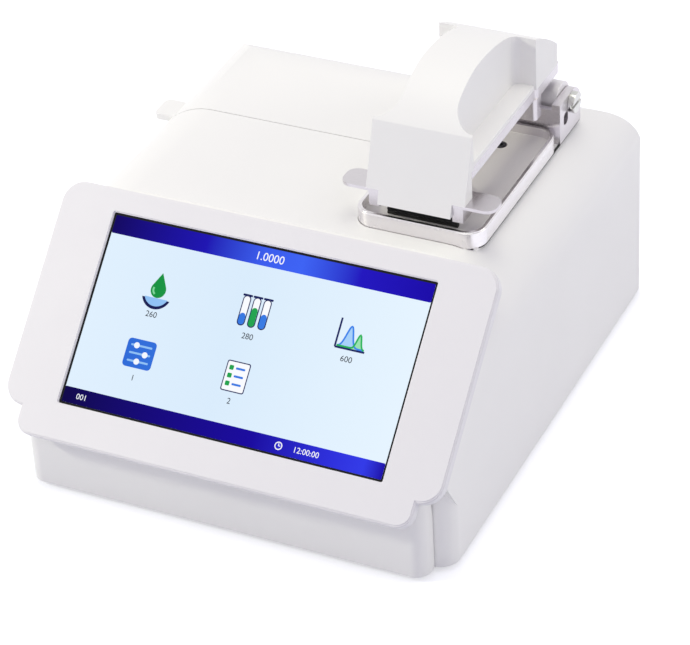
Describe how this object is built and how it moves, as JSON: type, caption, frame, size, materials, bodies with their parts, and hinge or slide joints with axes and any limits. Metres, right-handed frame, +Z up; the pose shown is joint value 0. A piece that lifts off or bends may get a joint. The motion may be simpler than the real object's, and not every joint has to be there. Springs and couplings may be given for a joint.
{
  "type": "microvolume spectrophotometer",
  "caption": "Bench spectrophotometer for tiny samples: sloped touch display, hinged measuring arm over a metal sample tray and a lidded cuvette bay.",
  "frame": {"origin": "on the table under the middle of the whole object", "axes": "+Z up, -Y to the front where the display faces, +X to the right as seen from the front"},
  "size_m": [0.2125, 0.2536, 0.1785],
  "materials": {
    "shell_abs": "fine-textured moulded white",
    "bezel_abs": "satin moulded white",
    "cover_glass": "clear, polished",
    "display": "dark display module",
    "sheet_steel": "brushed",
    "polished_steel": "fine polish",
    "dark_steel": "dark oxide",
    "cast_aluminium": "satin",
    "anodised_aluminium": "dark anodised",
    "circuit_board": "solder resist",
    "black_plastic": "moulded black",
    "bronze": "sintered",
    "rubber_black": "soft black",
    "panel_grey": "light grey paint"
  },
  "bodies": {
    "housing": {"main_shell": "shell_abs", "base_plinth": "shell_abs", "screen_bezel": "bezel_abs", "touch_glass": "cover_glass", "lcd_panel": "display", "lcd_bracket": "sheet_steel", "main_board": "circuit_board", "power_board": "circuit_board", "spectrometer": "anodised_aluminium", "light_fibre": "black_plastic", "sample_tray": "polished_steel", "tray_screws": "dark_steel", "lower_pedestal": "polished_steel", "pedestal_seal": "rubber_black", "hinge_bracket": "cast_aluminium", "bracket_screws": "dark_steel", "hinge_pin": "polished_steel", "lid_pins": "polished_steel", "cuvette_holder": "black_plastic", "rear_panel": "panel_grey", "power_inlet": "black_plastic", "usb_sockets": "sheet_steel", "switch_frame": "black_plastic", "feet": "rubber_black", "housing_screws": "dark_steel"},
    "arm": {"arm_frame": "cast_aluminium", "arm_cover": "shell_abs", "arm_barrel": "cast_aluminium", "barrel_bushes": "bronze", "arm_screws": "dark_steel", "upper_pedestal": "polished_steel", "lamp_module": "black_plastic", "lamp_mount": "sheet_steel"},
    "lid": {"cuvette_lid": "shell_abs"},
    "rocker": {"switch_rocker": "black_plastic"}
  },
  "joints": [
    {"name": "arm_hinge", "type": "hinge", "parent": "housing", "child": "arm", "pos_m": [0.058, 0.078, 0.1285], "axis": [-1, 0, 0], "range_deg": [0, 80]},
    {"name": "lid_hinge", "type": "hinge", "parent": "housing", "child": "lid", "pos_m": [-0.0375, 0.1235, 0.0905], "axis": [-1, 0, 0], "range_deg": [0, 85]},
    {"name": "power_rocker", "type": "hinge", "parent": "housing", "child": "rocker", "pos_m": [0.02, 0.12, 0.0365], "axis": [1, 0, 0], "range_deg": [0, 16]}
  ]
}
